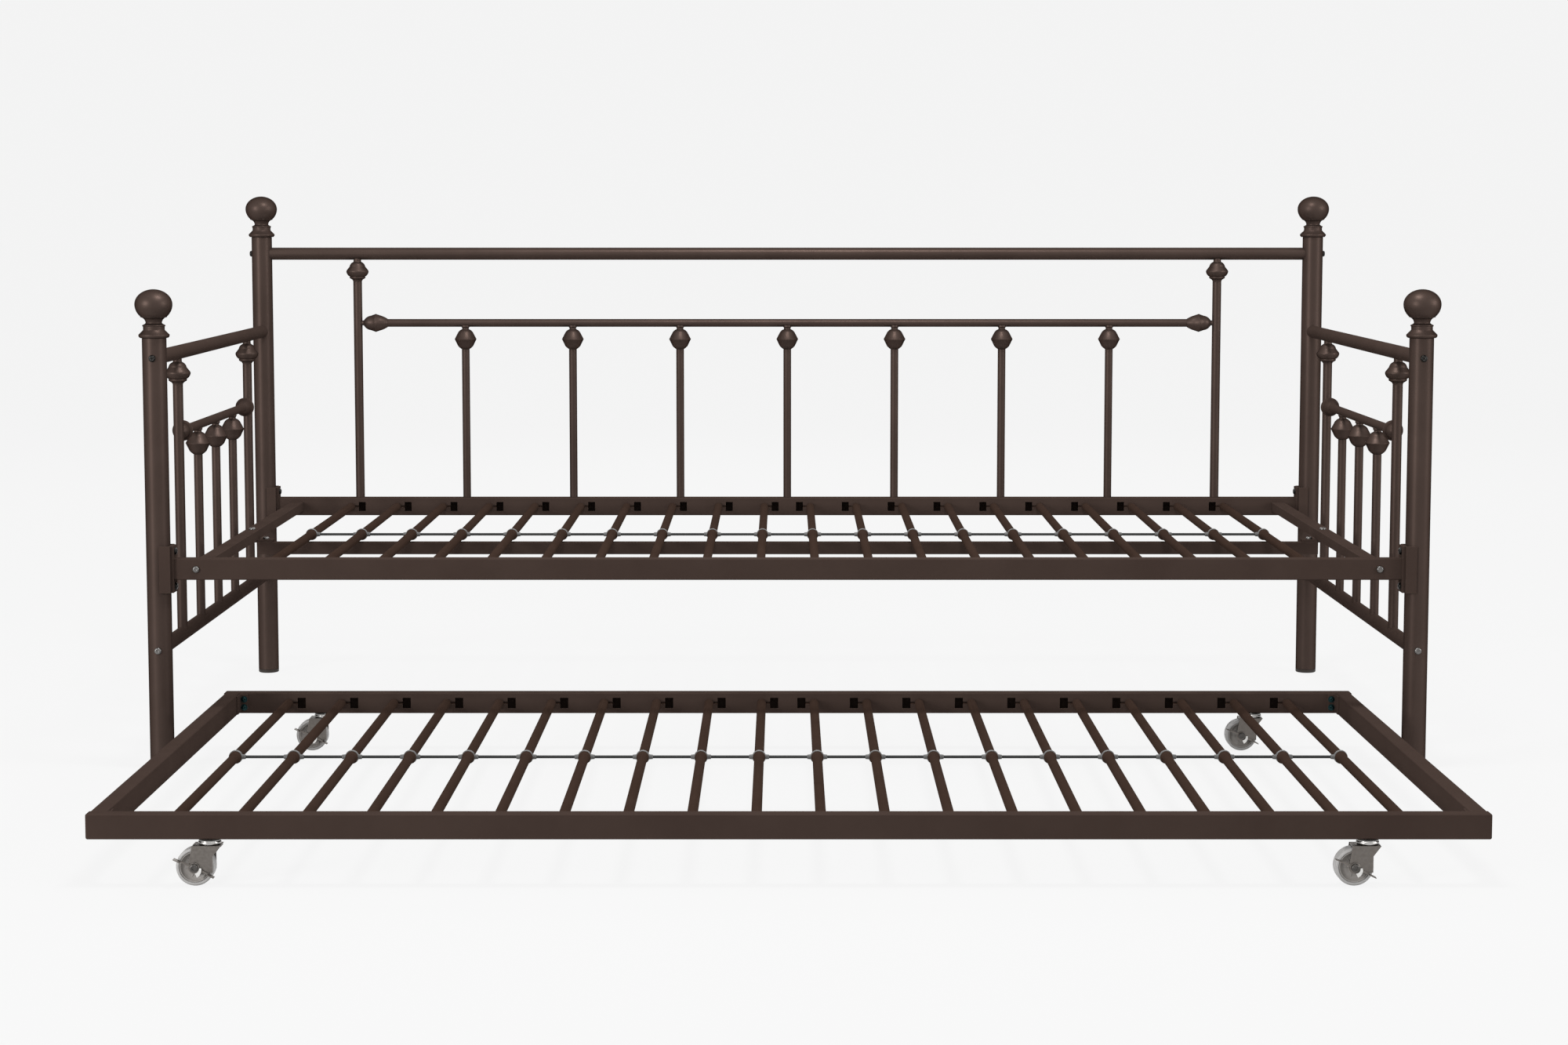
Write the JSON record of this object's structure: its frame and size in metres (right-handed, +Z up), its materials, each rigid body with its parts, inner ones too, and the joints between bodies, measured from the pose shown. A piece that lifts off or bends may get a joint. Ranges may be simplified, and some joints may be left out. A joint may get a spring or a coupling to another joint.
{
  "type": "daybed with trundle",
  "caption": "Metal spindle daybed with ball finials and turned knobs, slatted deck, and a pull-out slatted trundle on swivel casters with brake levers.",
  "frame": {"origin": "on the floor, in the middle of the whole object with the trundle pulled out as pictured", "axes": "+X along the bed to the right seen from the front, +Y from the trundle's front to the back panel, +Z up"},
  "size_m": [1.987, 1.8821, 0.8799],
  "materials": {
    "frame_bronze": "satin dark bronze powder coat with a fine texture",
    "bolt_steel": "zinc-plated",
    "clip_plastic": "matte grey",
    "tie_rod_steel": "dark grey coat",
    "foot_plastic": "matte dark brown",
    "caster_steel": "zinc-plated",
    "wheel_plastic": "taupe grey with a lighter tread"
  },
  "bodies": {
    "daybed": {"arm_acorn_knobs": "frame_bronze", "arm_lower_rails": "frame_bronze", "arm_mid_rails": "frame_bronze", "arm_rail_knobs": "frame_bronze", "arm_short_spindles": "frame_bronze", "arm_tall_knobs": "frame_bronze", "arm_tall_spindles": "frame_bronze", "arm_top_rails": "frame_bronze", "back_acorn_knobs": "frame_bronze", "back_mid_rail": "frame_bronze", "back_rail_knobs": "frame_bronze", "back_short_spindles": "frame_bronze", "back_tall_knobs": "frame_bronze", "back_tall_spindles": "frame_bronze", "back_top_rail": "frame_bronze", "bed_front_rail": "frame_bronze", "bed_left_cross_rail": "frame_bronze", "bed_rail_end_plates": "frame_bronze", "bed_rear_rail": "frame_bronze", "bed_right_cross_rail": "frame_bronze", "bed_slat_clips": "clip_plastic", "bed_slats": "frame_bronze", "bed_tie_rods": "tie_rod_steel", "middle_support_bar": "frame_bronze", "middle_support_pads": "frame_bronze", "panel_bolts": "bolt_steel", "post_back_left": "frame_bronze", "post_back_right": "frame_bronze", "post_brackets": "frame_bronze", "post_finials": "frame_bronze", "post_foot_caps": "foot_plastic", "post_front_left": "frame_bronze", "post_front_right": "frame_bronze", "rail_bolts": "bolt_steel"},
    "trundle": {"caster_king_pins": "caster_steel", "trundle_bolts": "bolt_steel", "trundle_corner_brackets": "frame_bronze", "trundle_front_rail": "frame_bronze", "trundle_left_rail": "frame_bronze", "trundle_rear_rail": "frame_bronze", "trundle_right_rail": "frame_bronze", "trundle_slat_clips": "clip_plastic", "trundle_slats": "frame_bronze", "trundle_tie_rods": "tie_rod_steel"},
    "caster_front_left": {"caster_front_left_fork": "caster_steel", "caster_front_left_axle": "caster_steel"},
    "caster_front_left_wheel_body": {"caster_front_left_wheel": "wheel_plastic"},
    "caster_front_left_brake_body": {"caster_front_left_brake": "caster_steel"},
    "caster_front_right": {"caster_front_right_fork": "caster_steel", "caster_front_right_axle": "caster_steel"},
    "caster_front_right_wheel_body": {"caster_front_right_wheel": "wheel_plastic"},
    "caster_front_right_brake_body": {"caster_front_right_brake": "caster_steel"},
    "caster_rear_left": {"caster_rear_left_fork": "caster_steel", "caster_rear_left_axle": "caster_steel"},
    "caster_rear_left_wheel_body": {"caster_rear_left_wheel": "wheel_plastic"},
    "caster_rear_left_brake_body": {"caster_rear_left_brake": "caster_steel"},
    "caster_rear_right": {"caster_rear_right_fork": "caster_steel", "caster_rear_right_axle": "caster_steel"},
    "caster_rear_right_wheel_body": {"caster_rear_right_wheel": "wheel_plastic"},
    "caster_rear_right_brake_body": {"caster_rear_right_brake": "caster_steel"}
  },
  "joints": [
    {"name": "trundle_roll_out", "type": "slide", "parent": "daybed", "child": "trundle", "axis": [0, 1, 0], "range_m": [-0.2, 0.82]},
    {"name": "caster_front_left_swivel", "type": "hinge", "parent": "trundle", "child": "caster_front_left", "pos_m": [-0.74, -0.92375, 0.05], "axis": [0, 0, 1], "continuous": true},
    {"name": "caster_front_left_spin", "type": "hinge", "parent": "caster_front_left", "child": "caster_front_left_wheel_body", "pos_m": [-0.7578, -0.92375, 0.0245], "axis": [0, -1, 0], "continuous": true},
    {"name": "caster_front_left_brake_press", "type": "hinge", "parent": "caster_front_left", "child": "caster_front_left_brake_body", "pos_m": [-0.7578, -0.92375, 0.0245], "axis": [0, -1, 0], "range_deg": [0, 30]},
    {"name": "caster_front_right_swivel", "type": "hinge", "parent": "trundle", "child": "caster_front_right", "pos_m": [0.74, -0.92375, 0.05], "axis": [0, 0, 1], "continuous": true},
    {"name": "caster_front_right_spin", "type": "hinge", "parent": "caster_front_right", "child": "caster_front_right_wheel_body", "pos_m": [0.7222, -0.92375, 0.0245], "axis": [0, -1, 0], "continuous": true},
    {"name": "caster_front_right_brake_press", "type": "hinge", "parent": "caster_front_right", "child": "caster_front_right_brake_body", "pos_m": [0.7222, -0.92375, 0.0245], "axis": [0, -1, 0], "range_deg": [0, 30]},
    {"name": "caster_rear_left_swivel", "type": "hinge", "parent": "trundle", "child": "caster_rear_left", "pos_m": [-0.74, 0.07125, 0.05], "axis": [0, 0, 1], "continuous": true},
    {"name": "caster_rear_left_spin", "type": "hinge", "parent": "caster_rear_left", "child": "caster_rear_left_wheel_body", "pos_m": [-0.7578, 0.07125, 0.0245], "axis": [0, -1, 0], "continuous": true},
    {"name": "caster_rear_left_brake_press", "type": "hinge", "parent": "caster_rear_left", "child": "caster_rear_left_brake_body", "pos_m": [-0.7578, 0.07125, 0.0245], "axis": [0, -1, 0], "range_deg": [0, 30]},
    {"name": "caster_rear_right_swivel", "type": "hinge", "parent": "trundle", "child": "caster_rear_right", "pos_m": [0.74, 0.07125, 0.05], "axis": [0, 0, 1], "continuous": true},
    {"name": "caster_rear_right_spin", "type": "hinge", "parent": "caster_rear_right", "child": "caster_rear_right_wheel_body", "pos_m": [0.7222, 0.07125, 0.0245], "axis": [0, -1, 0], "continuous": true},
    {"name": "caster_rear_right_brake_press", "type": "hinge", "parent": "caster_rear_right", "child": "caster_rear_right_brake_body", "pos_m": [0.7222, 0.07125, 0.0245], "axis": [0, -1, 0], "range_deg": [0, 30]}
  ]
}
